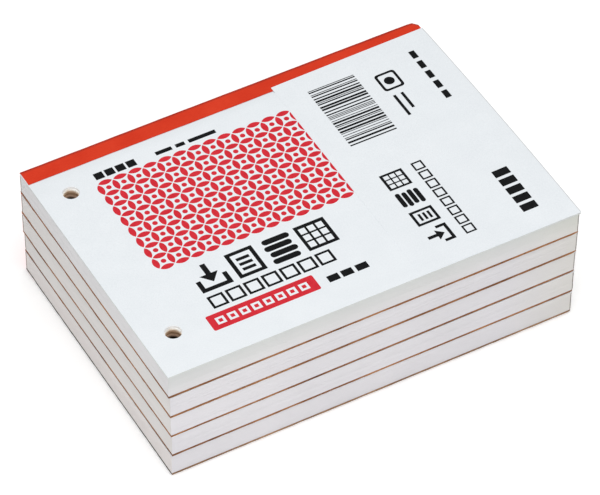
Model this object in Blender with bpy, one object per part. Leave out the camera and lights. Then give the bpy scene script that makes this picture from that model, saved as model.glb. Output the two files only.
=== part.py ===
"""Pack of five bound slip pads with a loose pack label.

Each pad is a block of landscape slips on a chipboard back, under a printed paper
cover. Glue on the spine holds the slips, and a red tape is folded from the cover over
the spine and under the board. Two filing holes run through every pad near one short
edge. On the top pad the cover and two slips are separate leaves: the second slip turns
on the bound edge and carries what lies on it, the first slip tears off sideways along
the bound edge, and the cover turns over the bound edge.

Metres, +Z up. The origin is the middle of the footprint on the table. +X runs along
the long edge, away from the filing holes, and +Y points to the bound edge.
"""

import math

import bmesh
import bpy
from mathutils import Vector

MM = 0.001

# ---------------------------------------------------------------- driving sizes (mm)
SLIP_W = 125.0  # long edge of the slip format
PAD_D = 88.0  # short edge, tape included
TAPE_T = 0.16  # tape over the spine
FLAP_T = 0.12  # tape pressed on cover and board
TAPE_ON_COVER = 5.45  # visible width of the tape on the cover
GLUE_T = 0.14
SPINE_GAP = 0.06  # slips to glue
TAPE_GAP = 0.08  # glue to tape

BOARD_T = 0.60
FLANGE_LIFT = 0.03  # the tape stays clear of the table
SHEET_GAP = 0.10

# The bound edge is pressed in from both sides, so the tape lies flush there.
PRESS_UNDER = 0.20
PRESS_OVER = 0.25
RAMP_W = 1.0  # the sheets step down to the pressed strip over this width
RAMP_GAP = 0.23  # from the pressed strip's start to the tape

PITCH = 7.60  # one pad in the pile
BLOCK_T = 6.55
COVER_T = 0.12
FLAP_GAP = 0.06

TOP_BLOCK_T = 6.10  # slips left in the top pad under its loose leaves
LEAF_GAP = 0.12
LEAF_T = 0.12
TOP_COVER_T = 0.16
TOP_RISE = 0.45  # the top pad swells towards its free front edge

HOLE_D = 4.75
HOLE_PITCH = 60.0
HOLE_EDGE = 8.9  # hole centre to the short edge
HOLE_SEGMENTS = 24

HINGE_BEHIND = 0.30  # the leaves bend about a line just behind the spine

LABEL_LEFT = 76.3  # from the left edge of the pad
LABEL_DEPTH = 84.5  # from the front edge
LABEL_OVERHANG = 0.5
LABEL_T = 0.12
LABEL_GAP = 0.08

FLAP_CORNER_R = 2.2  # worn corner of the top tape
CORNER_STEPS = 6

# each pad lies a little askew on the one below: x, y (mm) and turn (degrees)
PAD_PLACE = [
    (0.00, 0.00, 0.00),
    (0.10, -0.05, 0.16),
    (-0.12, 0.06, 0.28),
    (-0.05, 0.00, 0.22),
    (-0.10, -0.05, 0.00),
]

# ---------------------------------------------------------------- derived sizes (mm)
HALF_W = SLIP_W / 2
FRONT = -PAD_D / 2
TAPE_BACK = PAD_D / 2
TAPE_IN = TAPE_BACK - TAPE_T
GLUE_BACK = TAPE_IN - TAPE_GAP
SHEET_BACK = GLUE_BACK - GLUE_T - SPINE_GAP
FLAP_FRONT = TAPE_BACK - TAPE_ON_COVER
HOLE_X = -HALF_W + HOLE_EDGE
HOLES = [(HOLE_X, HOLE_PITCH / 2), (HOLE_X, -HOLE_PITCH / 2)]
BLOCK_Z = BOARD_T + SHEET_GAP
PRESS_Y = FLAP_FRONT - RAMP_GAP
RAMP_Y = PRESS_Y - RAMP_W


# ---------------------------------------------------------------- materials
def linear(c):
    c /= 255.0
    return c / 12.92 if c <= 0.04045 else ((c + 0.055) / 1.055) ** 2.4


def material(name, rgb, roughness, metallic=0.0):
    mat = bpy.data.materials.new(name)
    mat.use_nodes = True
    bsdf = mat.node_tree.nodes["Principled BSDF"]
    bsdf.inputs["Base Color"].default_value = (*[linear(v) for v in rgb], 1.0)
    bsdf.inputs["Roughness"].default_value = roughness
    bsdf.inputs["Metallic"].default_value = metallic
    return mat


# ---------------------------------------------------------------- shapes
def circle_points(cx, cy, d, n):
    return [
        (
            cx + d / 2 * math.cos(2 * math.pi * i / n),
            cy + d / 2 * math.sin(2 * math.pi * i / n),
        )
        for i in range(n)
    ]


def rounded_outline(x0, x1, y0, y1, r):
    """Counter-clockwise outline of a strip, with its back right corner rounded."""
    pts = [(x0, y0), (x1, y0)]
    for i in range(CORNER_STEPS + 1):
        a = math.pi / 2 * i / CORNER_STEPS
        pts.append((x1 - r + r * math.cos(a), y1 - r + r * math.sin(a)))
    pts.append((x0, y1))
    return pts


def no_shift(y):
    return 0.0


def pressed(y, depth):
    """How far a sheet is pushed in at y: nothing on the open part, all of depth at the bound edge."""
    t = (y - RAMP_Y) / (PRESS_Y - RAMP_Y)
    return depth * min(max(t, 0.0), 1.0)


def swell(y):
    """How far the top pad's leaves stand up at y, from the ramp to the free edge."""
    t = (RAMP_Y - y) / (RAMP_Y - FRONT)
    return TOP_RISE * max(t, 0.0)


def fill_loops(bm, loops, z):
    """A flat face set bounded by the first loop, with the other loops as holes."""
    edges = []
    for loop in loops:
        verts = [bm.verts.new((x * MM, y * MM, z * MM)) for x, y in loop]
        edges += [
            bm.edges.new((verts[i], verts[(i + 1) % len(verts)]))
            for i in range(len(verts))
        ]
    bmesh.ops.triangle_fill(bm, use_beauty=True, use_dissolve=False, edges=edges)


def raise_solid(bm, vector):
    """Sweep every face of the flat set along the vector into a closed solid."""
    swept = bmesh.ops.extrude_face_region(bm, geom=bm.faces[:])
    moved = [g for g in swept["geom"] if isinstance(g, bmesh.types.BMVert)]
    bmesh.ops.translate(bm, verts=moved, vec=vector)
    bmesh.ops.recalc_face_normals(bm, faces=bm.faces[:])


def finish_mesh(bm, name):
    mesh = bpy.data.meshes.new(name)
    bm.to_mesh(mesh)
    bm.free()
    return mesh


def plate_mesh(name, outline, z0, z1):
    """A flat plate with the given outline."""
    bm = bmesh.new()
    fill_loops(bm, [outline], z0)
    raise_solid(bm, Vector((0, 0, (z1 - z0) * MM)))
    return finish_mesh(bm, name)


def sheet_mesh(
    name,
    z0,
    z1,
    under=no_shift,
    over=no_shift,
    x0=-HALF_W,
    x1=HALF_W,
    cuts=(FRONT, RAMP_Y, PRESS_Y, SHEET_BACK),
    holes=HOLES,
    axis=(0.0, 0.0),
):
    """A sheet or block of sheets between z0 and z1, drilled in its first field.

    cuts are the lines along X where its surfaces may bend. under and over give the
    height added to its lower and upper surface at each y. axis is the (y, z) that
    becomes the mesh's own origin.
    """
    bm = bmesh.new()

    def point(x, y):
        return bm.verts.new((x * MM, y * MM, 0.0))

    def edge(v, w):
        return bm.edges.get((v, w)) or bm.edges.new((v, w))

    left = [point(x0, y) for y in cuts]
    right = [point(x1, y) for y in cuts]
    rim = [left[0], right[0], right[1], left[1]]
    edges = [edge(rim[i], rim[(i + 1) % 4]) for i in range(4)]
    for hx, hy in holes:
        ring = [point(x, y) for x, y in circle_points(hx, hy, HOLE_D, HOLE_SEGMENTS)]
        edges += [edge(v, ring[(i + 1) % len(ring)]) for i, v in enumerate(ring)]
    bmesh.ops.triangle_fill(bm, use_beauty=True, use_dissolve=False, edges=edges)
    for i in range(1, len(cuts) - 1):
        bm.faces.new((left[i], right[i], right[i + 1], left[i + 1]))
    lower = list(bm.verts)
    swept = bmesh.ops.extrude_face_region(bm, geom=bm.faces[:])
    upper = [g for g in swept["geom"] if isinstance(g, bmesh.types.BMVert)]
    for v in lower:
        v.co.z = (z0 + under(v.co.y / MM)) * MM
    for v in upper:
        v.co.z = (z1 + over(v.co.y / MM)) * MM
    bmesh.ops.translate(bm, verts=bm.verts, vec=(0, -axis[0] * MM, -axis[1] * MM))
    bmesh.ops.recalc_face_normals(bm, faces=bm.faces[:])
    return finish_mesh(bm, name)


def strip_mesh(name, profile):
    """A folded strip along X from its closed (y, z) profile."""
    bm = bmesh.new()
    verts = [bm.verts.new((-HALF_W * MM, y * MM, z * MM)) for y, z in profile]
    bm.faces.new(verts)
    raise_solid(bm, Vector((SLIP_W * MM, 0, 0)))
    return finish_mesh(bm, name)


def place(name, mesh, mat, parent):
    ob = bpy.data.objects.new(name, mesh)
    mesh.materials.append(mat)
    bpy.context.scene.collection.objects.link(ob)
    ob.parent = parent
    return ob


def empty(name, location, turn_deg=0.0, parent=None):
    e = bpy.data.objects.new(name, None)
    e.empty_display_size = 0.01
    bpy.context.scene.collection.objects.link(e)
    e.location = [v * MM for v in location]
    e.rotation_euler = (0.0, 0.0, math.radians(turn_deg))
    e.parent = parent
    return e


def main():
    for ob in list(bpy.data.objects):
        bpy.data.objects.remove(ob, do_unlink=True)

    white = material("slip_paper", (232, 233, 233), 0.85)
    cover_white = material("cover_paper", (235, 239, 242), 0.7)
    brown = material("backing_board", (160, 110, 70), 0.9)
    red = material("binding_tape", (215, 64, 43), 0.6)
    glue = material("padding_glue", (238, 236, 226), 0.45)
    label = material("label_paper", (238, 241, 244), 0.6)

    def down(y):
        return -pressed(y, PRESS_OVER)

    def up(y):
        return pressed(y, PRESS_UNDER)

    def leaf_lift(y):
        return swell(y) - pressed(y, PRESS_OVER)

    for k, (dx, dy, turn) in enumerate(PAD_PLACE, start=1):
        top_pad = k == len(PAD_PLACE)
        pad = empty("pad_%d" % k, (dx, dy, (k - 1) * PITCH), turn)
        block_top = BLOCK_Z + (TOP_BLOCK_T if top_pad else BLOCK_T)
        node = "pad_%d_" % k

        place(
            node + "board", sheet_mesh(node + "board", 0.0, BOARD_T, up, up), brown, pad
        )
        over = leaf_lift if top_pad else down
        place(
            node + "slips",
            sheet_mesh(node + "slips", BLOCK_Z, block_top, up, over),
            white,
            pad,
        )
        glue_outline = [
            (-HALF_W, GLUE_BACK - GLUE_T),
            (HALF_W, GLUE_BACK - GLUE_T),
            (HALF_W, GLUE_BACK),
            (-HALF_W, GLUE_BACK),
        ]
        glue_low, glue_high = BLOCK_Z + PRESS_UNDER, block_top - PRESS_OVER
        place(
            node + "glue",
            plate_mesh(node + "glue", glue_outline, glue_low, glue_high),
            glue,
            pad,
        )
        flange = [
            (FLAP_FRONT, FLANGE_LIFT),
            (TAPE_BACK, FLANGE_LIFT),
        ]
        inside_low = [(TAPE_IN, FLANGE_LIFT + FLAP_T), (FLAP_FRONT, FLANGE_LIFT + FLAP_T)]

        if not top_pad:
            z = block_top + SHEET_GAP
            place(
                node + "cover",
                sheet_mesh(node + "cover", z, z + COVER_T, down, down),
                cover_white,
                pad,
            )
            z += COVER_T - PRESS_OVER + FLAP_GAP
            profile = (
                flange
                + [(TAPE_BACK, z + FLAP_T), (FLAP_FRONT, z + FLAP_T)]
                + [(FLAP_FRONT, z), (TAPE_IN, z)]
                + inside_low
            )
            place(node + "tape", strip_mesh(node + "tape", profile), red, pad)
            continue

        profile = flange + [(TAPE_BACK, glue_high), (TAPE_IN, glue_high)] + inside_low
        place(node + "tape_spine", strip_mesh(node + "tape_spine", profile), red, pad)

        # The leaves turn about lines along X, just behind the spine.
        hinge_y = TAPE_BACK + HINGE_BEHIND
        second_z = block_top + LEAF_GAP
        first_z = second_z + LEAF_T + LEAF_GAP
        cover_z = first_z + LEAF_T + LEAF_GAP
        flap_z = cover_z + TOP_COVER_T - PRESS_OVER + FLAP_GAP
        label_z = cover_z + TOP_COVER_T + LABEL_GAP

        slip_axis = second_z + LEAF_T / 2 - PRESS_OVER
        cover_axis = cover_z + TOP_COVER_T / 2 - PRESS_OVER
        slip_hinge = empty("slip_hinge", (0, hinge_y, slip_axis), parent=pad)
        cover_hinge = empty(
            "cover_hinge", (0, 0, cover_axis - slip_axis), parent=slip_hinge
        )
        on_slip = (hinge_y, slip_axis)
        on_cover = (hinge_y, cover_axis)

        def leaf(name, z, t, axis, mat, parent):
            mesh = sheet_mesh(name, z, z + t, leaf_lift, leaf_lift, axis=axis)
            place(name, mesh, mat, parent)

        leaf(node + "slip_second", second_z, LEAF_T, on_slip, white, slip_hinge)
        leaf(node + "slip_first", first_z, LEAF_T, on_slip, white, slip_hinge)
        leaf(node + "cover", cover_z, TOP_COVER_T, on_cover, cover_white, cover_hinge)
        flap_outline = rounded_outline(
            -HALF_W, HALF_W, FLAP_FRONT - hinge_y, TAPE_IN - hinge_y, FLAP_CORNER_R
        )
        flap_z -= cover_axis
        place(
            node + "tape_flap",
            plate_mesh(node + "tape_flap", flap_outline, flap_z, flap_z + FLAP_T),
            red,
            cover_hinge,
        )
        label_mesh = sheet_mesh(
            "pack_label",
            label_z,
            label_z + LABEL_T,
            swell,
            swell,
            x0=-HALF_W + LABEL_LEFT,
            x1=HALF_W + LABEL_OVERHANG,
            cuts=(FRONT, RAMP_Y, FRONT + LABEL_DEPTH),
            holes=(),
            axis=on_cover,
        )
        place("pack_label", label_mesh, label, cover_hinge)


main()
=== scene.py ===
"""Looks of a pile of five bound slip pads with a loose pack label on top.

Every pad is a hundred cut sheets on a brown chipboard, under a printed cover, with red
tape folded over its bound edge and two filing holes. Lengths below are millimetres in
each pad's own frame; the meshes are made in metres in the frame's axes.
"""

import math

import bpy
import numpy as np
from mathutils import Matrix, Vector
from mathutils.geometry import delaunay_2d_cdt


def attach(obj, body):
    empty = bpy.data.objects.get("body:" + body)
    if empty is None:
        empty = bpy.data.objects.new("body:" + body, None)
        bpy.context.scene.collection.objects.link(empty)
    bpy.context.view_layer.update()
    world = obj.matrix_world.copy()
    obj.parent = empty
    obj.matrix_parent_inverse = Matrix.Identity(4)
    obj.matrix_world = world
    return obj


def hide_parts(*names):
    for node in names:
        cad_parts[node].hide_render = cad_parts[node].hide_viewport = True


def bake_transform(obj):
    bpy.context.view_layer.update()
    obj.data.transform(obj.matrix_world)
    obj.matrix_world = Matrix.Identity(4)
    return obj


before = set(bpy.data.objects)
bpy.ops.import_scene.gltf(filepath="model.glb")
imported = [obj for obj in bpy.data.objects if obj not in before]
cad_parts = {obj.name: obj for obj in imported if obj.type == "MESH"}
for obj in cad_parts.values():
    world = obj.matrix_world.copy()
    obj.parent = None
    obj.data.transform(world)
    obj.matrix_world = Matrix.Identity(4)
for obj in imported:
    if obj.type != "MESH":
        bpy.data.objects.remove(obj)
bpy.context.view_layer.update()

MM = 0.001
PITCH = 7.60
PLACE = {
    1: (0.00, 0.00, 0.00),
    2: (0.10, -0.05, 0.16),
    3: (-0.12, 0.06, 0.28),
    4: (-0.05, 0.00, 0.22),
    5: (-0.10, -0.05, 0.00),
}
HALF_W = 62.5
FRONT = -44.0
BACK = 43.56
RAMP_Y, PRESS_Y = 37.32, 38.32
FLAP_FRONT = 38.55
TAPE_BACK = 44.10
HOLE_X, HOLE_Y, HOLE_R = -53.6, 30.0, 2.375
TOP_RISE = 0.45
HOLE_SEGMENTS = 40


# ---------------------------------------------------------------- camera
def make_camera():
    az, el = math.radians(-28.350), math.radians(45.712)
    roll = math.radians(-0.566)
    back = Vector(
        (math.sin(az) * math.cos(el), -math.cos(az) * math.cos(el), math.sin(el))
    )
    right = (-back).cross(Vector((0, 0, 1))).normalized()
    up = right.cross(-back)
    across = math.cos(roll) * right + math.sin(roll) * up
    upward = -math.sin(roll) * right + math.cos(roll) * up
    data = bpy.data.cameras.new("camera")
    data.sensor_fit = "HORIZONTAL"
    data.sensor_width = 36.0
    data.lens = 4651.3 / 600.0 * 36.0
    data.clip_start, data.clip_end = 0.05, 50.0
    cam = bpy.data.objects.new("camera", data)
    bpy.context.scene.collection.objects.link(cam)
    m = Matrix.Identity(4)
    for i, axis in enumerate((across, upward, back)):
        for j in range(3):
            m[j][i] = axis[j]
    place = Vector((0.008398, 0.013967, 0.0)) + back * 1.3055
    for j in range(3):
        m[j][3] = place[j]
    cam.matrix_world = m
    bpy.context.scene.camera = cam


make_camera()


# ---------------------------------------------------------------- materials
def linear(c):
    c /= 255.0
    return c / 12.92 if c <= 0.04045 else ((c + 0.055) / 1.055) ** 2.4


def rgb(*v):
    return (*[linear(x) for x in v], 1.0)


class Look:
    """One procedural material, with helpers for its nodes."""

    def __init__(self, name):
        self.mat = bpy.data.materials.new(name)
        self.mat.use_nodes = True
        self.nt = self.mat.node_tree
        self.nt.nodes.clear()
        out = self.nt.nodes.new("ShaderNodeOutputMaterial")
        self.bsdf = self.nt.nodes.new("ShaderNodeBsdfPrincipled")
        self.nt.links.new(self.bsdf.outputs[0], out.inputs[0])
        self.coord = self.nt.nodes.new("ShaderNodeTexCoord")

    def link(self, a, b):
        self.nt.links.new(a, b)

    def place(self, scale, turn=(0, 0, 0)):
        m = self.nt.nodes.new("ShaderNodeMapping")
        m.inputs["Scale"].default_value = scale
        m.inputs["Rotation"].default_value = turn
        self.link(self.coord.outputs["Object"], m.inputs["Vector"])
        return m.outputs[0]

    def noise(self, scale, detail=4.0, rough=0.55, stretch=(1, 1, 1), turn=(0, 0, 0)):
        n = self.nt.nodes.new("ShaderNodeTexNoise")
        n.inputs["Scale"].default_value = scale
        n.inputs["Detail"].default_value = detail
        n.inputs["Roughness"].default_value = rough
        self.link(self.place(stretch, turn), n.inputs["Vector"])
        return n.outputs["Fac"]

    def math(self, op, a, b):
        n = self.nt.nodes.new("ShaderNodeMath")
        n.operation = op
        for i, v in enumerate((a, b)):
            if isinstance(v, (int, float)):
                n.inputs[i].default_value = v
            else:
                self.link(v, n.inputs[i])
        return n.outputs[0]

    def weigh(self, parts):
        total = None
        for value, share in parts:
            term = self.math("MULTIPLY", value, share)
            total = term if total is None else self.math("ADD", total, term)
        return total

    def ramp(self, fac, stops):
        r = self.nt.nodes.new("ShaderNodeValToRGB")
        e = r.color_ramp.elements
        while len(e) < len(stops):
            e.new(0.5)
        for el, (at, colour) in zip(e, stops):
            el.position = at
            el.color = colour
        self.link(fac, r.inputs["Fac"])
        return r.outputs["Color"]

    def mix(self, fac, a, b):
        m = self.nt.nodes.new("ShaderNodeMix")
        m.data_type = "RGBA"
        self.link(fac, m.inputs["Factor"])
        cols = [s for s in m.inputs if s.type == "RGBA"]
        for s, v in zip(cols, (a, b)):
            if isinstance(v, tuple):
                s.default_value = v
            else:
                self.link(v, s)
        return [o for o in m.outputs if o.type == "RGBA"][0]

    def tint(self, fac, a, colour):
        m = self.nt.nodes.new("ShaderNodeMix")
        m.data_type = "RGBA"
        m.blend_type = "MULTIPLY"
        self.link(fac, m.inputs["Factor"])
        cols = [s for s in m.inputs if s.type == "RGBA"]
        self.link(a, cols[0])
        cols[1].default_value = colour
        return [o for o in m.outputs if o.type == "RGBA"][0]

    def span(self, fac, low, high, a=0.3, b=0.7):
        m = self.nt.nodes.new("ShaderNodeMapRange")
        m.inputs["From Min"].default_value = a
        m.inputs["From Max"].default_value = b
        m.inputs["To Min"].default_value = low
        m.inputs["To Max"].default_value = high
        self.link(fac, m.inputs["Value"])
        return m.outputs[0]

    def bump(self, height, strength, distance, under=None):
        b = self.nt.nodes.new("ShaderNodeBump")
        b.inputs["Strength"].default_value = strength
        b.inputs["Distance"].default_value = distance
        self.link(height, b.inputs["Height"])
        if under is not None:
            self.link(under, b.inputs["Normal"])
        return b.outputs[0]

    def finish(self, colour, rough, normal, specular=0.3):
        self.link(colour, self.bsdf.inputs["Base Color"])
        self.link(rough, self.bsdf.inputs["Roughness"])
        self.link(normal, self.bsdf.inputs["Normal"])
        self.bsdf.inputs["Specular IOR Level"].default_value = specular
        return self.mat


def sheet_look(name, dark, light, rough, specular, bump=0.25):
    """Flat paper: fine fibres, a soft cloudiness and a trace of bump."""
    m = Look(name)
    fibre = m.noise(2400, 6, 0.65, (1.0, 2.6, 1.0), (0, 0, 0.5))
    cross = m.noise(1900, 5, 0.6, (2.4, 1.0, 1.0), (0, 0, -0.35))
    cloud = m.noise(140, 3, 0.5)
    tone = m.weigh([(fibre, 0.45), (cross, 0.39), (cloud, 0.16)])
    colour = m.ramp(tone, [(0.34, dark), (0.64, light)])
    return m.finish(
        colour,
        m.span(fibre, rough - 0.08, rough + 0.08),
        m.bump(m.weigh([(fibre, 0.5), (cross, 0.5)]), bump, 0.00003),
        specular,
    )


def ink_look(name, dark, light, rough, specular):
    """Printed ink: it follows the fibres, and lies a little unevenly."""
    m = Look(name)
    fibre = m.noise(2400, 6, 0.65, (1.0, 2.6, 1.0), (0, 0, 0.5))
    mottle = m.noise(520, 4, 0.6)
    tone = m.weigh([(fibre, 0.45), (mottle, 0.55)])
    colour = m.ramp(tone, [(0.36, dark), (0.62, light)])
    return m.finish(
        colour,
        m.span(mottle, rough - 0.07, rough + 0.07),
        m.bump(fibre, 0.2, 0.00003),
        specular,
    )


def edge_look(name, dark, mid, light, shade_heights=None, light_falloff=None):
    """The cut edge of a block of sheets: streaks along the sheets, faint cutter marks.

    The first optional argument, (low, high) in metres, paints shade: the edge turns a little
    greyer from low up to high. The second, (from, to) in metres along X, paints shade and the
    light's colour: the edge turns a little darker and yellower towards that end, and a little
    darker and cooler at the other one.
    """
    m = Look(name)
    split = m.nt.nodes.new("ShaderNodeSeparateXYZ")
    m.link(m.coord.outputs["Object"], split.inputs[0])
    sheets = m.noise(1.0, 3, 0.7, (55, 55, 9500))
    lifts = m.noise(1.0, 2, 0.5, (9, 9, 1400))
    dust = m.noise(3200, 4, 0.6)
    cloud = m.noise(70, 3, 0.5)
    tone = m.weigh([(sheets, 0.30), (lifts, 0.08), (dust, 0.24), (cloud, 0.38)])
    colour = m.ramp(tone, [(0.33, dark), (0.47, mid), (0.64, light)])
    # painted shade: a greyer tone from the band's low height up to its high one
    if shade_heights:
        used = m.span(m.math("ADD", split.outputs["Z"], m.math("MULTIPLY", cloud, 0.002)), 0.0, 1.0, *shade_heights)
        shade_tone = [(0.33, rgb(199, 201, 199)), (0.47, rgb(204, 206, 204)), (0.64, rgb(209, 211, 209))]
        colour = m.mix(used, colour, m.ramp(tone, shade_tone))
    # painted shade and light colour along X: darker and yellower at one end, darker and cooler at the other
    if light_falloff:
        along = m.math("ADD", split.outputs["X"], m.math("MULTIPLY", cloud, 0.004))
        colour = m.tint(m.span(along, 0.0, 1.0, *light_falloff), colour, (0.975, 0.970, 0.900, 1))
        colour = m.tint(m.span(along, 1.0, 0.0, -0.062, -0.046), colour, (0.968, 0.968, 0.976, 1))
    lines = m.bump(sheets, 0.16, 0.00004)
    return m.finish(
        colour, m.span(dust, 0.78, 0.95), m.bump(dust, 0.3, 0.00003, lines), 0.2
    )


def bore_look(name, top, glow=0.0, slope=0.0):
    """Drilled paper with painted shade down the bore: near white at the mouth, then tan, brown and nearly black deeper
    down, with a little random mottling.

    top is the height of the bore's mouth at y = 0 in metres, and slope how much it falls
    towards the bound edge; glow is the strength of a painted glow near the mouth, standing
    for light that soaks through the sheets.
    """
    m = Look(name)
    sheets = m.noise(1.0, 3, 0.7, (120, 120, 9500))
    blotch = m.noise(900, 4, 0.6)
    split = m.nt.nodes.new("ShaderNodeSeparateXYZ")
    m.link(m.coord.outputs["Object"], split.inputs[0])
    height = m.math("ADD", split.outputs["Z"], m.math("MULTIPLY", split.outputs["Y"], slope))
    deep = m.span(height, 0.0, 1.0, top, top - 0.0050)
    # painted light: the walls are lighter towards the bore's sides, less so deeper down
    aside = m.math("ABSOLUTE", m.math("SUBTRACT", split.outputs["X"], HOLE_X * MM), 0.0)
    aside = m.math("MULTIPLY", aside, m.math("SUBTRACT", 1.0, deep))
    uneven = m.weigh([(sheets, 0.08), (blotch, 0.12), (deep, 1.0), (aside, -0.18 / (HOLE_R * MM))])
    uneven = m.math("SUBTRACT", uneven, 0.10)
    # painted shade: darker with depth down the bore; the pale stop at 0.65 is a painted highlight band
    colour = m.ramp(
        uneven,
        [
            (0.12, rgb(250, 250, 249)),
            (0.22, rgb(246, 241, 234)),
            (0.31, rgb(232, 212, 190)),
            (0.42, rgb(198, 166, 136)),
            (0.52, rgb(184, 149, 120)),
            (0.65, rgb(246, 216, 190)),
            (0.74, rgb(198, 170, 150)),
            (0.82, rgb(86, 73, 64)),
            (0.89, rgb(30, 26, 23)),
        ],
    )
    # painted glow: the walls near the mouth give off light, though the bore is no lamp
    if glow:
        painted_glow = m.ramp(
            uneven,
            [
                (0.02, (0.96, 0.97, 0.98, 1)),
                (0.10, (1.0, 0.98, 0.93, 1)),
                (0.19, (0.74, 0.67, 0.57, 1)),
                (0.28, (0.38, 0.31, 0.24, 1)),
                (0.36, (0.12, 0.09, 0.07, 1)),
                (0.46, (0.0, 0.0, 0.0, 1)),
            ],
        )
        m.link(painted_glow, m.bsdf.inputs["Emission Color"])
        m.bsdf.inputs["Emission Strength"].default_value = glow
    return m.finish(colour, m.span(blotch, 0.75, 0.95), m.bump(sheets, 0.5, 0.00006), 0.15)


def board_look(name, low, mid, high, patchy):
    """Brown chipboard: long fibres, dark and pale specks; its cut edges are patchier."""
    m = Look(name)
    fibre = m.noise(900, 6, 0.7, (0.35, 2.2, 3.0), (0, 0, 0.2))
    speck = m.noise(1500, 2, 0.5)
    patch = m.noise(75, 4, 0.6)
    tone = m.weigh([(fibre, 1.0 - patchy), (patch, patchy)])
    ground = m.ramp(tone, [(0.34, low), (0.48, mid), (0.62, high)])
    dark = m.ramp(speck, [(0.66, (0, 0, 0, 1)), (0.74, (1, 1, 1, 1))])
    pale = m.ramp(speck, [(0.24, (1, 1, 1, 1)), (0.33, (0, 0, 0, 1))])
    colour = m.mix(dark, ground, rgb(66, 46, 35))
    colour = m.mix(pale, colour, rgb(186, 150, 112))
    rough = m.bump(fibre, 0.5, 0.00008)
    return m.finish(colour, m.span(speck, 0.82, 0.97), m.bump(speck, 0.3, 0.00005, rough), 0.18)


def tape_look(name, dark, mid, light):
    """Red binding paper tape with a fine crepe grain along its length."""
    m = Look(name)
    crepe = m.noise(1500, 5, 0.6, (0.5, 2.2, 2.2))
    weave = m.noise(3800, 3, 0.5)
    cloud = m.noise(110, 3, 0.5)
    tone = m.weigh([(crepe, 0.4), (weave, 0.2), (cloud, 0.4)])
    colour = m.ramp(tone, [(0.33, dark), (0.5, mid), (0.66, light)])
    grain = m.bump(crepe, 0.35, 0.00005)
    return m.finish(
        colour, m.span(crepe, 0.5, 0.66), m.bump(weave, 0.2, 0.00003, grain), 0.15
    )


def glue_look(name):
    """Padding glue: a rubbery film with brush marks."""
    m = Look(name)
    brush = m.noise(600, 4, 0.6, (0.3, 1.0, 3.0))
    cloud = m.noise(150, 3, 0.5)
    tone = m.weigh([(brush, 0.6), (cloud, 0.4)])
    colour = m.ramp(tone, [(0.35, rgb(214, 206, 184)), (0.65, rgb(240, 236, 222))])
    return m.finish(colour, m.span(brush, 0.35, 0.55), m.bump(brush, 0.4, 0.00006), 0.45)


COVER = sheet_look("cover_paper", rgb(223, 228, 232), rgb(237, 241, 244), 0.55, 0.35)
LABEL = sheet_look("label_paper", rgb(223, 228, 232), rgb(237, 241, 244), 0.48, 0.4, 0.18)
SLIP = sheet_look("slip_paper", rgb(226, 227, 226), rgb(240, 240, 239), 0.7, 0.25, 0.3)
# painted shade: the greyer look for the strip along the label's drooping right edge
LABEL_EDGE_SHADE = sheet_look("label_edge_painted_shade", rgb(196, 198, 198), rgb(216, 219, 220), 0.6, 0.3)
# painted shade and light colour: the lower pads' front turns a little darker and yellower towards its right end
EDGE = edge_look("paper_edge", rgb(210, 208, 211), rgb(215, 213, 216), rgb(219, 217, 220), None, (0.042, 0.064))
# a warmer, slightly darker copy of the edge for the left sides of pads 2 to 4
EDGE_LEFT = edge_look("paper_edge_left_warmer", rgb(207, 204, 202), rgb(213, 210, 208), rgb(217, 215, 213))
EDGE_LOW = edge_look("paper_edge_low", rgb(212, 207, 205), rgb(218, 213, 211), rgb(223, 219, 217))
EDGE_TOP = edge_look("paper_edge_top", rgb(208, 207, 208), rgb(213, 212, 213), rgb(217, 216, 217))
# painted shade: the top pad's front turns greyer towards its top, and darker and yellower towards its right end
EDGE_FRONT = edge_look(
    "paper_edge_front", rgb(210, 208, 209), rgb(215, 213, 214), rgb(220, 218, 219), (0.0320, 0.0390), (0.044, 0.070)
)
# painted shade: the loose top leaves' cut edges are greyer, for the shade at the top of the top pad's front
LEAF_EDGE_SHADE = edge_look("leaf_edge_painted_shade", rgb(198, 201, 199), rgb(203, 206, 204), rgb(208, 211, 209))
# painted shade: a dark strip and chamfer at each pad's front right corner, standing for the shaded right side
CORNER_SHADE = edge_look("corner_painted_shade", rgb(108, 103, 98), rgb(126, 120, 115), rgb(144, 138, 133))
# painted shade: dark strips on the sides next to the bound spine, for the shade at the tape's end and the glue gap
SPINE_SHADE = edge_look("spine_edge_painted_shade", rgb(124, 118, 111), rgb(143, 137, 130), rgb(163, 157, 149))
# bore walls with painted shade down the bore; the top pad's also have a painted glow near the mouth
BORES = {k: bore_look("drilled_paper_%d" % k, (PITCH * k - 0.05) * MM) for k in range(1, 5)}
BORES[5] = bore_look("drilled_paper_5", (PITCH * 5 + 0.16) * MM, 0.19, TOP_RISE / (RAMP_Y - FRONT))
BOARD = board_look("backing_board", rgb(116, 84, 59), rgb(138, 102, 73), rgb(158, 121, 90), 0.22)
BOARD_EDGE = board_look("board_edge", rgb(92, 58, 38), rgb(134, 90, 58), rgb(172, 122, 80), 0.55)
BOARD_LOW = board_look("board_edge_low", rgb(104, 78, 54), rgb(136, 104, 74), rgb(164, 130, 96), 0.55)
# painted shade: the bottom board's left side is dark grey, as in shade where it meets the floor
BOARD_SHADE = board_look("board_edge_painted_shade", rgb(50, 47, 44), rgb(66, 62, 58), rgb(84, 79, 73), 0.45)
TAPE = tape_look("binding_tape", rgb(202, 45, 18), rgb(212, 54, 25), rgb(220, 63, 34))
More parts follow.
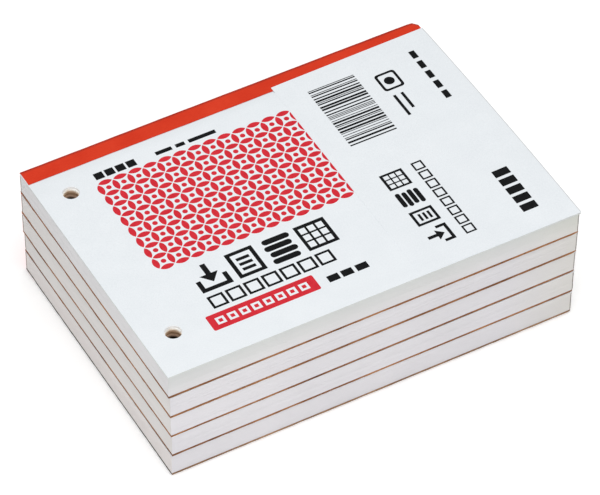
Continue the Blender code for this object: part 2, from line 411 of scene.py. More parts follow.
# painted shade: darker red on the tape's folds, and a little darker just past the top fold
TAPE_FOLD_SHADE = tape_look("tape_fold_painted_shade", rgb(160, 40, 20), rgb(172, 45, 25), rgb(184, 52, 31))
TAPE_RIM_SHADE = tape_look("tape_rim_painted_shade", rgb(188, 45, 22), rgb(198, 52, 28), rgb(207, 60, 36))
RED_INK = ink_look("red_ink", rgb(199, 26, 42), rgb(216, 43, 56), 0.55, 0.2)
BLACK_INK = ink_look("black_ink", rgb(8, 9, 10), rgb(24, 25, 27), 0.55, 0.08)
RULE_INK = ink_look("rule_ink", rgb(196, 84, 76), rgb(216, 116, 106), 0.55, 0.3)
GLUE = glue_look("padding_glue")


# ---------------------------------------------------------------- surfaces of a pad
def pressed(y):
    return min(max((y - RAMP_Y) / (PRESS_Y - RAMP_Y), 0.0), 1.0)


def swell(y):
    return TOP_RISE * max((RAMP_Y - y) / (RAMP_Y - FRONT), 0.0)


def under(y):
    """Lift of a pad's lower surfaces at its bound edge."""
    return 0.20 * pressed(y)


def over(y):
    """Drop of a pad's upper surfaces at its bound edge."""
    return -0.25 * pressed(y)


def top_over(y):
    return swell(y) + over(y)


def in_pile(points, k):
    """Points of pad k's own frame, in mm, as world metres."""
    dx, dy, turn = PLACE[k]
    p = np.array(points, float).reshape(-1, 3)
    a = math.radians(turn)
    c, s = math.cos(a), math.sin(a)
    x = p[:, 0] * c - p[:, 1] * s + dx
    y = p[:, 0] * s + p[:, 1] * c + dy
    return np.stack([x, y, p[:, 2] + (k - 1) * PITCH], 1) * MM


def make_piece(name, points, faces, picks, looks, smooth=None):
    mesh = bpy.data.meshes.new(name)
    mesh.from_pydata([tuple(p) for p in points], [], faces)
    for look in looks:
        mesh.materials.append(look)
    mesh.polygons.foreach_set("material_index", np.array(picks, np.int32))
    mesh.update()
    if smooth is not None:
        mesh.shade_smooth()
        mesh.set_sharp_from_angle(angle=math.radians(smooth))
    mesh.validate()
    ob = bpy.data.objects.new(name, mesh)
    bpy.context.scene.collection.objects.link(ob)
    return ob


# ---------------------------------------------------------------- flat layouts
def circle(cx, cy, r, n=HOLE_SEGMENTS):
    return [
        (cx + r * math.cos(2 * math.pi * i / n), cy + r * math.sin(2 * math.pi * i / n))
        for i in range(n)
    ]


def split_loop(corners, step):
    """The loop with extra points, so that no side is longer than step."""
    loop = []
    for (x0, y0), (x1, y1) in zip(corners, corners[1:] + corners[:1]):
        n = max(1, math.ceil(math.hypot(x1 - x0, y1 - y0) / step))
        loop += [(x0 + (x1 - x0) * i / n, y0 + (y1 - y0) * i / n) for i in range(n)]
    return loop


def lay_out(outline, holes, prints=(), creases=(), step=8.0):
    """Triangles of a flat sheet, cut along its holes, its creases and its print.

    prints are (loop, look number); a later one lies over an earlier one. creases are
    pairs of numbers of outline points. The first points given back are those of the
    outline and then those of the holes, in their order.
    """
    pts, faces, look_of = [], [], []

    def loop(points, look):
        faces.append(list(range(len(pts), len(pts) + len(points))))
        pts.extend(points)
        look_of.append(look)

    loop(outline, 0)
    for h in holes:
        loop(h, -1)
    rim = len(pts)
    for points, look in prints:
        loop(points, look)
    xs = [p[0] for p in outline]
    ys = [p[1] for p in outline]
    nx = int((max(xs) - min(xs)) / step)
    ny = int((max(ys) - min(ys)) / step)
    for i in range(1, nx):
        for j in range(1, ny):
            pts.append(
                (
                    min(xs) + (max(xs) - min(xs)) * (i + 0.07 * ((j * 7) % 3 - 1)) / nx,
                    min(ys) + (max(ys) - min(ys)) * (j + 0.07 * ((i * 5) % 3 - 1)) / ny,
                )
            )
    out_pts, _, out_faces, from_pts, _, from_faces = delaunay_2d_cdt(
        [Vector(p) for p in pts], list(creases), faces, 0, 1e-5, True
    )
    new_of = {}
    for n, olds in enumerate(from_pts):
        for o in olds:
            new_of[o] = n
    order = [new_of[i] for i in range(rim)]
    rest = [n for n in range(len(out_pts)) if n not in set(order)]
    number = {n: i for i, n in enumerate(order + rest)}
    flat = [(out_pts[n].x, out_pts[n].y) for n in order + rest]
    tris, looks = [], []
    hole_ids = set(range(1, 1 + len(holes)))
    for f, ids in zip(out_faces, from_faces):
        if not ids or hole_ids & set(ids):
            continue
        tris.append([number[n] for n in f])
        looks.append(look_of[max(ids)])
    used = sorted({n for t in tris for n in t} | set(range(rim)))
    again = {n: i for i, n in enumerate(used)}
    return [flat[n] for n in used], [[again[n] for n in t] for t in tris], looks


# how far each pad's front right corner stands out sideways, at its underside and its top
FLARE = {1: (-0.35, -0.15), 2: (-0.10, 0.12), 3: (0.34, 0.60), 4: (0.66, 0.90), 5: (0.94, 1.12)}


def flare(k, share):
    low, high = FLARE[k]
    return low + (high - low) * share


def pad_outline(step, corner=0.25, lean=0.0, out=0.0):
    """Outline of a sheet of the pad, with its worn back right corner, and its creases.

    lean and out are how far the sheet's front right corner stands out to the front and
    to the side.
    """
    x0, x1, y1 = -HALF_W, HALF_W, BACK
    arc = [
        (
            x1 - corner + corner * math.cos(math.pi / 2 * i / 8),
            y1 - corner + corner * math.sin(math.pi / 2 * i / 8),
        )
        for i in range(9)
    ]
    corners = [(x0, FRONT), (x1 + out, FRONT - lean), (x1, RAMP_Y), (x1, PRESS_Y)] + arc
    corners += [(x0, y1), (x0, PRESS_Y), (x0, RAMP_Y)]
    loop = split_loop(corners, step)
    creases = []
    for y in (RAMP_Y, PRESS_Y):
        ends = [i for i, p in enumerate(loop) if abs(p[1] - y) < 1e-6 and abs(abs(p[0]) - x1) < 1e-6]
        creases.append(tuple(ends))
    return loop, creases


def sheet_piece(name, k, outline, creases, holes, prints, low, high, looks, smooth=20.0):
    """A thin sheet with print on its upper face. low and high give z from (x, y).

    looks are paper, then the inks; the last three are for the walls of its holes, its
    underside and its cut edges.
    """
    top, tris, picks = lay_out(outline, holes, prints, creases)
    bottom, lower, _ = lay_out(outline, holes, (), creases, 14.0)
    points = [(x, y, high(x, y)) for x, y in top] + [(x, y, low(x, y)) for x, y in bottom]
    n = len(top)
    faces = [list(t) for t in tris] + [[n + i for i in reversed(t)] for t in lower]
    last = len(looks) - 1
    picks = list(picks) + [last - 1] * len(lower)
    start = 0
    for number, loop in enumerate([outline] + list(holes)):
        m = len(loop)
        for i in range(m):
            a, b = start + i, start + (i + 1) % m
            quad = [n + a, n + b, b, a]
            faces.append(quad if number == 0 else quad[::-1])
            picks.append(last if number == 0 else last - 2)
        start += m
    return make_piece(name, in_pile(points, k), faces, picks, looks, smooth)


def ring_piece(name, k, rings, prints, creases, low, high, looks, pick, smooth=None):
    """A solid from rings of equal loops, bottom to top: the outside, then the holes.

    pick gives (underside, outside, holes, upper side) numbers in looks; the outside may
    be a list with one number for each side of the outline.
    """
    points, faces, picks = [], [], []
    sizes = [len(l) for l in rings[0]]
    total = sum(sizes)
    for ring in rings:
        for loop in ring:
            points += loop
    for r in range(len(rings) - 1):
        start = 0
        for number, m in enumerate(sizes):
            for i in range(m):
                a, b = start + i, start + (i + 1) % m
                quad = [r * total + a, r * total + b, (r + 1) * total + b, (r + 1) * total + a]
                faces.append(quad if number == 0 else quad[::-1])
                if number:
                    picks.append(pick[2])
                else:
                    picks.append(pick[1] if isinstance(pick[1], int) else pick[1][i])
            start += m
    for ring, z, is_top in ((rings[0], low, False), (rings[-1], high, True)):
        flat = [[(x, y) for x, y, _ in loop] for loop in ring]
        pts, tris, tri_looks = lay_out(
            flat[0], flat[1:], prints if is_top else (), creases, 14.0
        )
        base = (len(rings) - 1) * total if is_top else 0
        number = {i: base + i for i in range(total)}
        for i in range(total, len(pts)):
            number[i] = len(points)
            points.append((*pts[i], z(*pts[i])))
        for t, look in zip(tris, tri_looks):
            t = [number[i] for i in t]
            faces.append(t if is_top else t[::-1])
            picks.append((look if look else pick[3]) if is_top else pick[0])
    return make_piece(name, in_pile(points, k), faces, picks, looks, smooth)


# ---------------------------------------------------------------- print
def box(x0, y0, x1, y1):
    return [(x0, y0), (x1, y0), (x1, y1), (x0, y1)]


def soft_box(x0, y0, x1, y1, r, n=5):
    loop = []
    for cx, cy, a0 in (
        (x1 - r, y0 + r, -90),
        (x1 - r, y1 - r, 0),
        (x0 + r, y1 - r, 90),
        (x0 + r, y0 + r, 180),
    ):
        for i in range(n + 1):
            a = math.radians(a0 + 90 * i / n)
            loop.append((cx + r * math.cos(a), cy + r * math.sin(a)))
    return loop


def from_corner(prints):
    """Print given from the pad's front left corner, in the pad's own frame."""
    return [([(x - HALF_W, y + FRONT) for x, y in loop], look) for loop, look in prints]


def petal(x0, y0, x1, y1, n=9):
    """A lens between two points of a lattice, a little shorter than their distance."""
    mx, my = (x0 + x1) / 2, (y0 + y1) / 2
    dx, dy = x1 - x0, y1 - y0
    d = math.hypot(dx, dy)
    ux, uy = dx / d, dy / d
    half = 0.455 * d
    bulge = 0.200 * d
    r = (half * half + bulge * bulge) / (2 * bulge)
    a = math.asin(half / r)
    loop = []
    for side in (-1, 1):
        for i in range(n):
            t = (-a + 2 * a * i / n) * (1 if side < 0 else -1)
            u = r * math.sin(t)
            v = side * (r * math.cos(t) - (r - bulge))
            loop.append((mx + ux * u - uy * v, my + uy * u + ux * v))
    return loop


def lattice(x0, y0, pitch, nx, ny, look):
    """Interlaced circles: lens petals along a square lattice, a dot in each field."""
    out = []
    for i in range(nx + 1):
        for j in range(ny + 1):
            x, y = x0 + i * pitch, y0 + j * pitch
            if i < nx:
                out.append((petal(x, y, x + pitch, y), look))
            if j < ny:
                out.append((petal(x, y, x, y + pitch), look))
            if i < nx and j < ny:
                out.append((circle(x + pitch / 2, y + pitch / 2, 0.17 * pitch, 12), look))
    return out


def symbols(ink, paper):
    """Four plain pictograms in a unit square: into a tray, a slip, coins, a ledger."""
    tray = [
        (box(0.42, 0.55, 0.58, 1.0), ink),
        ([(0.22, 0.60), (0.50, 0.27), (0.78, 0.60)], ink),
        (
            [
                (0.03, 0.46),
                (0.03, 0.0),
                (0.97, 0.0),
                (0.97, 0.46),
                (0.83, 0.46),
                (0.83, 0.14),
                (0.17, 0.14),
                (0.17, 0.46),
            ],
            ink,
        ),
    ]
    slip = [(box(0.08, 0.0, 0.92, 1.0), ink), (box(0.20, 0.12, 0.80, 0.88), paper)]
    for y in (0.28, 0.48, 0.68):
        slip.append((box(0.30, y - 0.055, 0.70, y + 0.055), ink))
    coins = []
    for j in range(4):
        x = 0.05 * (j % 2)
        coins.append((soft_box(0.06 + x, 0.26 * j, 0.89 + x, 0.26 * j + 0.20, 0.095, 4), ink))
    ledger = [(box(0.03, 0.0, 0.97, 1.0), ink)]
    for i in range(3):
        for j in range(3):
            x, y = 0.13 + 0.265 * i, 0.11 + 0.277 * j
            ledger.append((box(x, y, x + 0.20, y + 0.215), paper))
    return [tray, slip, coins, ledger]


def set_row(marks, x, y, size, pitch, turned=False):
    """The marks in a row from (x, y), or up the sheet when turned a quarter."""
    out = []
    for n, mark in enumerate(marks):
        for loop, look in mark:
            placed = []
            for u, v in loop:
                if turned:
                    placed.append((x + size * (1 - v), y + n * pitch + size * u))
                else:
                    placed.append((x + n * pitch + size * u, y + size * v))
            out.append((placed, look))
    return out


def number_boxes(x, y, n, size, pitch, line, ink, paper, turned=False):
    """A row of empty boxes for writing a number."""
    out = []
    for i in range(n):
        a, b = (x, y + i * pitch) if turned else (x + i * pitch, y)
        out.append((box(a, b, a + size, b + size), ink))
        out.append((box(a + line, b + line, a + size - line, b + size - line), paper))
    return out


def cover_print():
    """Looks: 0 paper, 1 red, 2 black."""
    out = []
    for i in range(4):
        out.append((box(17.2 + 3.3 * i, 74.9, 19.9 + 3.3 * i, 77.5), 2))
    for x0, x1 in ((36.0, 41.0), (42.2, 45.0), (46.2, 54.6)):
        out.append((box(x0, 75.5, x1, 76.9), 2))
    out += lattice(16.6, 36.4, 4.60, 20, 8, 1)
    out += set_row(symbols(2, 0), 22.2, 22.6, 9.9, 10.8)
    out += number_boxes(22.4, 16.2, 7, 4.7, 5.45, 0.75, 2, 0)
    out.append((soft_box(18.7, 8.9, 51.0, 14.7, 0.5), 1))
    for i in range(8):
        x = 20.7 + 3.6 * i
        out.append((box(x, 10.5, x + 2.6, 13.1), 0))
        out.append((box(x + 0.7, 11.2, x + 1.9, 12.4), 1))
    for x0, x1 in ((54.0, 57.4), (58.2, 61.6), (62.6, 66.2)):
        out.append((box(x0, 9.7, x1, 12.1), 2))
    return from_corner(out)


def label_print():
    """Looks: 0 paper, 1 black."""
    out = []
    rng = np.random.default_rng(41)
    y = 52.4
    while y < 77.0:
        w = float(rng.choice([0.28, 0.28, 0.5, 0.74]))
        out.append((box(84.2, y, 98.8, y + w), 1))
        y += w + float(rng.choice([0.26, 0.26, 0.45, 0.68]))
    out.append((soft_box(103.2, 66.6, 109.6, 73.8, 1.0), 1))
    out.append((soft_box(104.0, 67.4, 108.8, 73.0, 0.6), 0))
    out.append((circle(106.4, 70.2, 1.55, 24), 1))
    for x, y0, y1 in ((104.2, 55.4, 64.4), (106.6, 57.6, 64.4)):
        out.append((box(x, y0, x + 0.9, y1), 1))
    for i in range(5):
        out.append((box(116.6, 56.0 + 4.6 * i, 118.4, 59.2 + 4.6 * i), 1))
    out += set_row(symbols(1, 0), 85.0, 7.6, 7.0, 8.0, True)
    out += number_boxes(95.0, 7.6, 8, 3.3, 3.95, 0.55, 1, 0, True)
    for i in range(5):
        out.append((box(112.6, 7.2 + 3.7 * i, 117.4, 9.9 + 3.7 * i), 1))
    return from_corner(out)


def slip_print(look=1):
    """A ruled form: a frame, a head, rows to fill in and a column of amounts."""
    out = []

    def rule(x0, y0, x1, y1, w=0.22):
        if abs(y1 - y0) < 1e-9:
            out.append((box(x0, y0 - w / 2, x1, y0 + w / 2), look))
        else:
            out.append((box(x0 - w / 2, y0, x0 + w / 2, y1), look))

    rule(16, 6, 120, 6, 0.45)
    rule(16, 62, 120, 62, 0.45)
    rule(16, 6, 16, 62, 0.45)
    rule(120, 6, 120, 62, 0.45)
    for j in range(1, 7):
        rule(16, 6 + 8 * j, 120, 6 + 8 * j)
    for x in (44, 84, 112):
        rule(x, 6, x, 62, 0.32)
    for i in range(1, 10):
        rule(84 + 2.8 * i, 6, 84 + 2.8 * i, 54, 0.14)
    rule(44, 70, 84, 70, 0.4)
    rule(44, 71.2, 84, 71.2, 0.2)
    for i in range(3):
        rule(90 + 10 * i, 68, 98 + 10 * i, 68, 0.25)
    out.append((box(16, 66, 36, 73), look))
    out.append((box(16.4, 66.4, 35.6, 72.6), 0))
    rule(16, 69.6, 36, 69.6, 0.2)
    return from_corner(out)


# ---------------------------------------------------------------- boards
def hole_loops(z, r=HOLE_R, shift=(0.0, 0.0)):
    loops = []
    for sy in (1, -1):
        loop = circle(HOLE_X + shift[0], sy * HOLE_Y + shift[1], r)
        loops.append([(x, y, z(x, y)) for x, y in loop])
    return loops


BOARD_T = {1: 0.60, 2: 0.70, 3: 0.70, 4: 0.70, 5: 0.70}
BOARD_OUT = {1: 0.0, 2: 0.0, 3: -0.02, 4: 0.07, 5: 0.03}


def board_piece(k):
    """Chipboard with a roughly cut, slightly crushed edge."""
    rng = np.random.default_rng(100 + k)
    loop, creases = pad_outline(1.3)
    n = len(loop)
    t = BOARD_T[k]
    wave = np.convolve(np.tile(rng.normal(0, 0.05, n), 3), [0.25, 0.5, 0.25], "same")[n : 2 * n]
    rings = []
    for share, out in ((0.0, -0.02), (0.10, 0.05), (0.5, 0.08), (0.90, 0.05), (1.0, -0.01)):
        fuzz = BOARD_OUT[k] + wave * 0.5 + rng.normal(0, 0.018, n)
        ring = []
        for i, (x, y) in enumerate(loop):
            d = out + fuzz[i]
            px, py = x, y
            if abs(x + HALF_W) < 1e-6:
                px = x - d
            if abs(x - HALF_W) < 1e-6:
                px = x + d - BOARD_OUT[k] - 0.07
                px += flare(k, 0.0) * max(0.0, (RAMP_Y - y) / (RAMP_Y - FRONT))
            if abs(y - FRONT) < 1e-6:
                py = y - d
                if abs(x - HALF_W) < 1e-6:
                    px, py = px - 0.22, py + 0.22
            ring.append((px, py, t * share + under(y)))
        rings.append([ring] + hole_loops(lambda x, y: t * share))
    # the bottom board's left side takes the dark look: painted shade by the floor
    looks = [BOARD, BOARD_LOW, BOARD_SHADE] if k == 1 else [BOARD, BOARD_EDGE, BOARD_EDGE]
    left = [abs(a[0] + HALF_W) < 1e-6 and abs(b[0] + HALF_W) < 1e-6 for a, b in zip(loop, loop[1:] + loop[:1])]
    return ring_piece(
        "pad_%d_board_look" % k,
        k,
        rings,
        (),
        creases,
        lambda x, y: under(y),
        lambda x, y: t + under(y),
        looks,
        (0, [2 if is_left else 1 for is_left in left], 1, 0),
    )


# ---------------------------------------------------------------- slip blocks
# widths in mm: the side strips with painted shade next to the spine, the chamfer at the front right corner, and the
# strip with painted shade on the front beside it
SPINE_STRIP, RUB, RIM = 0.45, 0.40, 0.16


def block_piece(k, low, high, sheets, prints=()):
    """A hundred cut sheets as one stepped solid; low and high are z at the block's faces."""
    rng = np.random.default_rng(200 + k)
    top_pad = k == 5
    rise = top_over if top_pad else over
    drift = rng.normal(0, 1, (sheets, 3))
    slow = np.cumsum(rng.normal(0, 0.004, (sheets, 3)), 0)
    slow -= slow.mean(0)
    slow = np.clip(slow, -0.025, 0.025)
    stray = np.where(rng.random((sheets, 3)) < 0.02, rng.uniform(0.007, 0.016, (sheets, 3)), 0)
    shift = np.clip(0.004 * drift + slow + stray, -0.05, 0.06)

    def z_at(y, share):
        lo, hi = low + under(y), high + rise(y)
        return lo + (hi - lo) * share

    rings = []
    for i in range(sheets):
        left, right, front = shift[i]
        for share in (i / sheets, (i + 1) / sheets):
            worn = 0.15
            if top_pad:
                worn += 1.9 * max(0.0, (i / sheets - 0.72) / 0.28) ** 1.3
            lean = 0.30 * max(0.0, (i / sheets - 0.62) / 0.38) ** 2 if top_pad else 0.0
            x0, x1, y0 = -HALF_W - left, HALF_W + right, FRONT - front
            x2, y2 = x1 + flare(k, i / sheets), y0 - lean
            arc = [
                (
                    x1 - worn + worn * math.cos(math.pi / 2 * j / 6),
                    BACK - worn + worn * math.sin(math.pi / 2 * j / 6),
                )
                for j in range(7)
            ]
            loop = [(x0, y0), (x2 - RUB - RIM, y2), (x2 - RUB, y2), (x2, y2 + RUB)]
            loop += [(x1, RAMP_Y), (x1, PRESS_Y)]
            loop += [(x1, BACK - worn - SPINE_STRIP)] + arc
            loop += [(x0, BACK), (x0, BACK - SPINE_STRIP), (x0, PRESS_Y), (x0, RAMP_Y)]
            ring = [(x, y, z_at(y, share)) for x, y in loop]
            wobble = (0.03 * drift[i][0], 0.03 * drift[i][1])
            bore = HOLE_R + 0.025 * drift[i][2]
            rings.append([ring] + hole_loops(lambda x, y: z_at(y, share), bore, wobble))
    creases = [(4, 17), (5, 16)]
    # front, the front right corner's strip and chamfer with painted shade, right side, the spine and the side strips
    # beside it with painted shade, left side
    sides = [2, 6, 6] + [2] * 3 + [5] * 9 + [4] * 3
    return ring_piece(
        "pad_%d_slips_look" % k,
        k,
        rings,
        prints,
        creases,
        lambda x, y: low + under(y),
        lambda x, y: high + rise(y),
        [SLIP, RULE_INK]
        + [EDGE_FRONT if top_pad else EDGE, BORES[k], EDGE_TOP if top_pad else EDGE_LEFT if k > 1 else EDGE_LOW]
        + [SPINE_SHADE, CORNER_SHADE],
        (0, sides, 3, 0),
    )


# ---------------------------------------------------------------- tapes
def ribbon_piece(name, k, xs, outer, inner, steps, looks, folds={}):
    """A folded strip: outer and inner give (y, z) at (x, share along the fold).

    folds gives the steps that take another look than the first.
    """
    nx, ns = len(xs), steps + 1
    points = []
    for side in (outer, inner):
        for x in xs:
            for s in range(ns):
                points.append((x, *side(x, s / steps)))
    off = nx * ns

    def at(side, i, s):
        return side * off + i * ns + s

    faces, picks = [], []
    for i in range(nx - 1):
        for s in range(steps):
            a, b, c, d = at(0, i, s), at(0, i + 1, s), at(0, i + 1, s + 1), at(0, i, s + 1)
            faces.append([a, b, c, d])
            faces.append([off + d, off + c, off + b, off + a])
            picks += [folds.get(s, 0)] * 2
        for s, flip in ((0, True), (steps, False)):
            q = [at(0, i, s), at(0, i + 1, s), at(1, i + 1, s), at(1, i, s)]
            faces.append(q[::-1] if flip else q)
            picks.append(0)
    for s in range(steps):
        for i, flip in ((0, False), (nx - 1, True)):
            q = [at(0, i, s), at(0, i, s + 1), at(1, i, s + 1), at(1, i, s)]
            faces.append(q[::-1] if flip else q)
            picks.append(0)
    return make_piece(name, in_pile(points, k), faces, picks, looks, 35.0)


def quarter(cy, cz, r, a0, a1, n=7):
    return [
        (
            cy + r * math.cos(math.radians(a0 + (a1 - a0) * i / n)),
            cz + r * math.sin(math.radians(a0 + (a1 - a0) * i / n)),
        )
        for i in range(n + 1)
    ]


TAPE_XS = [-62.28 + 124.70 * i / 96 for i in range(97)]


def waver(x, seed, size):
    """A small slow wander along the tape."""
    return size * (
        0.5 * math.sin(x * 0.11 + seed)
        + 0.3 * math.sin(x * 0.37 + 2.1 * seed)
        + 0.2 * math.sin(x * 0.93 + 3.7 * seed)
    )


def tape_piece(k):
    """Tape of a lower pad: over the cover's edge, down the spine and under the board."""
    t, r = 0.11, 0.42
    top, low = 7.50, 0.03

    def legs(inset, x):
        o = inset
        front = FLAP_FRONT + waver(x, 1.3 * k, 0.05)
        y1 = TAPE_BACK + waver(x, 0.7 * k, 0.05) - 0.03
        return (
            [(front, top - o)]
            + quarter(y1 - r, top - r, r - o, 90, 0)
            + quarter(y1 - r, low + r, r - o, 0, -90)
            + [(FLAP_FRONT + waver(x, 2.9 * k, 0.05), low + o)]
        )

    n = len(legs(0, 0)) - 1
    return ribbon_piece(
        "pad_%d_tape_look" % k,
        k,
        TAPE_XS,
        lambda x, s: legs(0.0, x)[round(s * n)],
        lambda x, s: legs(t, x)[round(s * n)],
        n,
        [TAPE, TAPE_FOLD_SHADE],
        # the steps round the top fold take the painted shade
        {s: 1 for s in range(1, 8)},
    )


WORN_FROM, WORN_R = 60.3, 2.15


def worn(x, z, top):
    """How far the top tape's back right corner is rubbed in, at x and height z."""
    if x <= WORN_FROM:
        return 0.0
    d = min(x - WORN_FROM, WORN_R - 0.02)
    depth = WORN_R - math.sqrt(WORN_R * WORN_R - d * d)
    share = min(max((z - (top - 2.2)) / 2.2, 0.0), 1.0)
    return depth * share * share


SEAM_Z = 6.80
FLAP_TOP = 7.50


def spine_tape():
    """The top pad's tape under the board and up the spine, to where it starts to fold."""
    t, r, low = 0.12, 0.42, 0.03

    def legs(inset, x):
        o = inset
        y1 = TAPE_BACK + waver(x, 3.5, 0.05) - 0.03
        path = [(FLAP_FRONT + waver(x, 9.1, 0.05), low + o)]
        path += quarter(y1 - r, low + r, r - o, -90, 0)
        for i in range(1, 13):
            path.append((y1 - o, low + r + (SEAM_Z - low - r) * i / 12))
        return [(y - worn(x, z, FLAP_TOP), z) for y, z in path]

    n = len(legs(0, 0)) - 1
    return ribbon_piece(
        "pad_5_tape_spine_look",
        5,
        TAPE_XS,
        lambda x, s: legs(t, x)[round(s * n)],
        lambda x, s: legs(0.0, x)[round(s * n)],
        n,
        [TAPE],
    )


def flap_tape():
    """The top pad's tape from the seam on its spine over the fold and onto the cover."""
    t, r = 0.12, 0.26

    def legs(inset, x):
        o = inset
        y1 = TAPE_BACK + waver(x, 3.5, 0.05) - 0.03
        path = [(y1 - o, SEAM_Z + (FLAP_TOP - r - SEAM_Z) * i / 4) for i in range(4)]
        path += quarter(y1 - r, FLAP_TOP - r, r - o, 0, 90)
        y2 = y1 - r
        front = FLAP_FRONT + waver(x, 4.6, 0.06)
        path += [(y2 - 0.40, FLAP_TOP - o), (y2 - 0.80, FLAP_TOP - o)]
        for i in range(1, 9):
            path.append((y2 - 0.80 + (front - y2 + 0.80) * i / 8, FLAP_TOP - o))
        out = []
        for y, z in path:
            share = min(max((y - front) / (y1 - front), 0.0), 1.0)
            out.append((y - worn(x, z, FLAP_TOP) * share, z))
        return out

    n = len(legs(0, 0)) - 1
    return ribbon_piece(
        "pad_5_tape_flap_look",
        5,
        TAPE_XS,
        lambda x, s: legs(t, x)[round(s * n)],
        lambda x, s: legs(0.0, x)[round(s * n)],
        n,
        [TAPE, TAPE_FOLD_SHADE, TAPE_RIM_SHADE],
        # the fold's steps take the painted shade, and the step after it a lighter painted shade
        {s: 2 if s == 12 else 1 for s in range(4, 13)},
    )


# ---------------------------------------------------------------- the pile
def hole_pair():
    return [circle(HOLE_X, HOLE_Y, HOLE_R), circle(HOLE_X, -HOLE_Y, HOLE_R)]


def cover_piece(k):
    loop, creases = pad_outline(8.0, 0.2, 0.0, flare(k, 1.0))
    low, high = 7.45, 7.57
    return sheet_piece(
        "pad_%d_cover_look" % k,
        k,
        loop,
        creases,
        hole_pair(),
        cover_print(),
        lambda x, y: low + over(y),
        lambda x, y: high + over(y),
        [COVER, RED_INK, BLACK_INK, BORES[k], COVER, COVER],
    )


for k in range(1, 5):
    pad = "pad_%d" % k
    board = board_piece(k)
    block = block_piece(k, BOARD_T[k] + 0.03, 7.42, 100)
    cover = cover_piece(k)
    tape = tape_piece(k)
    for piece, node, slot in (
        (board, "board", "backing_board"),
        (block, "slips", "slip_paper"),
        (cover, "cover", "cover_paper"),
        (tape, "tape", "binding_tape"),
    ):
        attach(piece, pad)
        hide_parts("%s_%s" % (pad, node))

top_board = board_piece(5)
top_block = block_piece(5, BOARD_T[5] + 0.03, 6.93, 96, slip_print())
for piece, node, slot in (
    (top_board, "pad_5_board", "backing_board"),
    (top_block, "pad_5_slips", "slip_paper"),
):
    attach(piece, "pad_5")
    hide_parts(node)


def leaf(name, low, high, prints, looks, corner, step=8.0):
    loop, creases = pad_outline(step, corner, 0.32, flare(5, 1.0))
    return sheet_piece(
        name,
        5,
        loop,
        creases,
        hole_pair(),
        prints,
        lambda x, y: low + top_over(y),
        lambda x, y: high + top_over(y),
        looks,
    )


second = leaf("pad_5_slip_second_look", 6.96, 7.10, slip_print(), [SLIP, RULE_INK, BORES[5], SLIP, LEAF_EDGE_SHADE], 2.1, 4.0)
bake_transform(second)
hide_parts("pad_5_slip_second")

first = leaf("pad_5_slip_first_look", 7.13, 7.30, slip_print(), [SLIP, RULE_INK, BORES[5], SLIP, LEAF_EDGE_SHADE], 2.2)
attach(first, "first_slip")
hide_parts("pad_5_slip_first")

top_cover = leaf(
    "pad_5_cover_look",
    7.33,
    7.56,
    cover_print(),
    [COVER, RED_INK, BLACK_INK, BORES[5], COVER, LEAF_EDGE_SHADE],
    2.3,
)
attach(top_cover, "top_cover")
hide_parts("pad_5_cover")

spine = spine_tape()
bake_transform(spine)
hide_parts("pad_5_tape_spine")
flap = flap_tape()
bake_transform(flap)
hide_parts("pad_5_tape_flap")


def label_piece():
    """A thin loose sheet: its right edge bows out and lifts, its corners lie down."""
    x0, y0, y1 = 13.8, FRONT + 0.05, 40.25
    mid, half = (y0 + y1) / 2, (y1 - y0) / 2

    def edge_x(y):
        u = (y - mid) / half
        return 63.30 - 0.50 * u + 0.14 * (1 - u * u)

    n = 28
    right = [(edge_x(y0 + (y1 - y0) * i / n), y0 + (y1 - y0) * i / n) for i in range(n + 1)]
    right[0] = (right[0][0] + 0.05, y0 - 0.38)
    right[-1] = (right[-1][0] - 0.10, y1 + 0.3)
    corners = [(x0 + 0.25, y0)] + right + [(x0 - 0.1, y1 - 0.4)]
    loop = split_loop(corners, 4.0)
    rim = [(right[0][0], right[0][1] + 0.15)] + right[1:-1] + [(right[-1][0], right[-1][1] - 0.25)]
    # painted shade: a grey strip along the label's right edge, in the third look
    hem = [(x - 0.02, y) for x, y in rim] + [(x - 0.30, y) for x, y in reversed(rim)]

    def lift(x, y):
        u = (y - mid) / half
        t = min(max((x - 40.0) / 22.5, 0.0), 1.0)
        bow = 0.42 * t * t * (3 - 2 * t) * max(0.0, 1 - u * u)
        pad_side = HALF_W + flare(5, 1.0) * max(0.0, (RAMP_Y - y) / (RAMP_Y - FRONT))
        droop = 0.16 * max(0.0, (x - pad_side) / 0.8) ** 2
        return swell(y) + bow - droop + 0.008 * math.sin(x * 0.21 + y * 0.13)

    def thin(x):
        """The left edge is pressed thin against the cover."""
        return 0.05 * max(0.0, 1.0 - (x - x0 + 0.1) / 1.2)

    low, high = 7.572, 7.645
    return sheet_piece(
        "pack_label_look",
        5,
        loop,
        (),
        (),
        label_print() + [(hem, 2)],
        lambda x, y: low + lift(x, y),
        lambda x, y: high + lift(x, y) - thin(x),
        [LABEL, BLACK_INK, LABEL_EDGE_SHADE, LABEL, LABEL, LABEL],
    )


label = label_piece()
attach(label, "label")
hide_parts("pack_label")


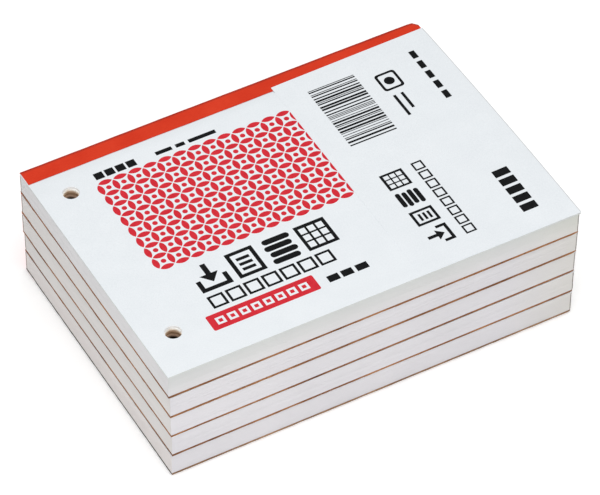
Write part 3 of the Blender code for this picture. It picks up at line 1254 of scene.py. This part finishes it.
def glue_piece(k):
    """Padding glue brushed on the spine: a thin film, thicker in its middle, wavy at its rims."""
    high = 7.02 if k < 5 else 6.58
    steps = 14

    def z_at(x, s):
        a = high + waver(x, 1.9 * k, 0.10)
        b = 0.98 + waver(x, 4.3 * k, 0.10)
        return a + (b - a) * s

    def face(x, s):
        z = z_at(x, s)
        hump = min(1.0, 6.0 * min(s, 1.0 - s))
        ridge = 0.5 + 0.5 * math.sin(5.2 * z + 0.6 * math.sin(0.23 * x + k))
        return (43.62 + hump * (0.09 + 0.035 * ridge + waver(x, 2.3 * k, 0.02)), z)

    return ribbon_piece(
        "pad_%d_glue_look" % k,
        k,
        [-62.3 + 124.6 * i / 124 for i in range(125)],
        face,
        lambda x, s: (43.60, z_at(x, s)),
        steps,
        [GLUE],
    )


for k in range(1, 6):
    film = glue_piece(k)
    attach(film, "pad_%d" % k)
    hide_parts("pad_%d_glue" % k)


# ---------------------------------------------------------------- studio
def make_studio():
    scene = bpy.context.scene
    scene.view_settings.view_transform = "Standard"
    scene.view_settings.look = "None"
    world = bpy.data.worlds.new("studio")
    scene.world = world
    world.use_nodes = True
    sky = world.node_tree.nodes["Background"]
    sky.inputs["Color"].default_value = (1.0, 1.0, 1.0, 1.0)
    sky.inputs["Strength"].default_value = 0.36

    floor_mesh = bpy.data.meshes.new("floor")
    s = 3.0
    floor_mesh.from_pydata(
        [(-s, -s, -0.0001), (s, -s, -0.0001), (s, s, -0.0001), (-s, s, -0.0001)], [], [(0, 1, 2, 3)]
    )
    m = Look("floor")
    grain = m.noise(60, 3, 0.5)
    m.finish(
        m.ramp(grain, [(0.3, (0.955, 0.955, 0.955, 1)), (0.7, (0.97, 0.97, 0.97, 1))]),
        m.span(grain, 0.85, 0.95),
        m.bump(grain, 0.02, 0.0001),
        0.1,
    )
    m.bsdf.inputs["Emission Color"].default_value = (1.0, 1.0, 1.0, 1.0)
    m.bsdf.inputs["Emission Strength"].default_value = 0.17
    floor_mesh.materials.append(m.mat)
    floor = bpy.data.objects.new("floor", floor_mesh)
    scene.collection.objects.link(floor)

    def area(name, size, power, place, aim):
        data = bpy.data.lights.new(name, "AREA")
        data.shape = "SQUARE"
        data.size = size
        data.energy = power
        ob = bpy.data.objects.new(name, data)
        scene.collection.objects.link(ob)
        ob.location = place
        ob.rotation_mode = "QUATERNION"
        ob.rotation_quaternion = (Vector(aim) - Vector(place)).to_track_quat("-Z", "Y")

    area("softbox", 1.6, 18.8, (0.0, -0.10, 1.5), (0.0, 0.0, 0.0))
    area("fill", 0.3, 0.9, (-0.35, -0.45, 0.15), (0.0, 0.0, 0.02))


make_studio()
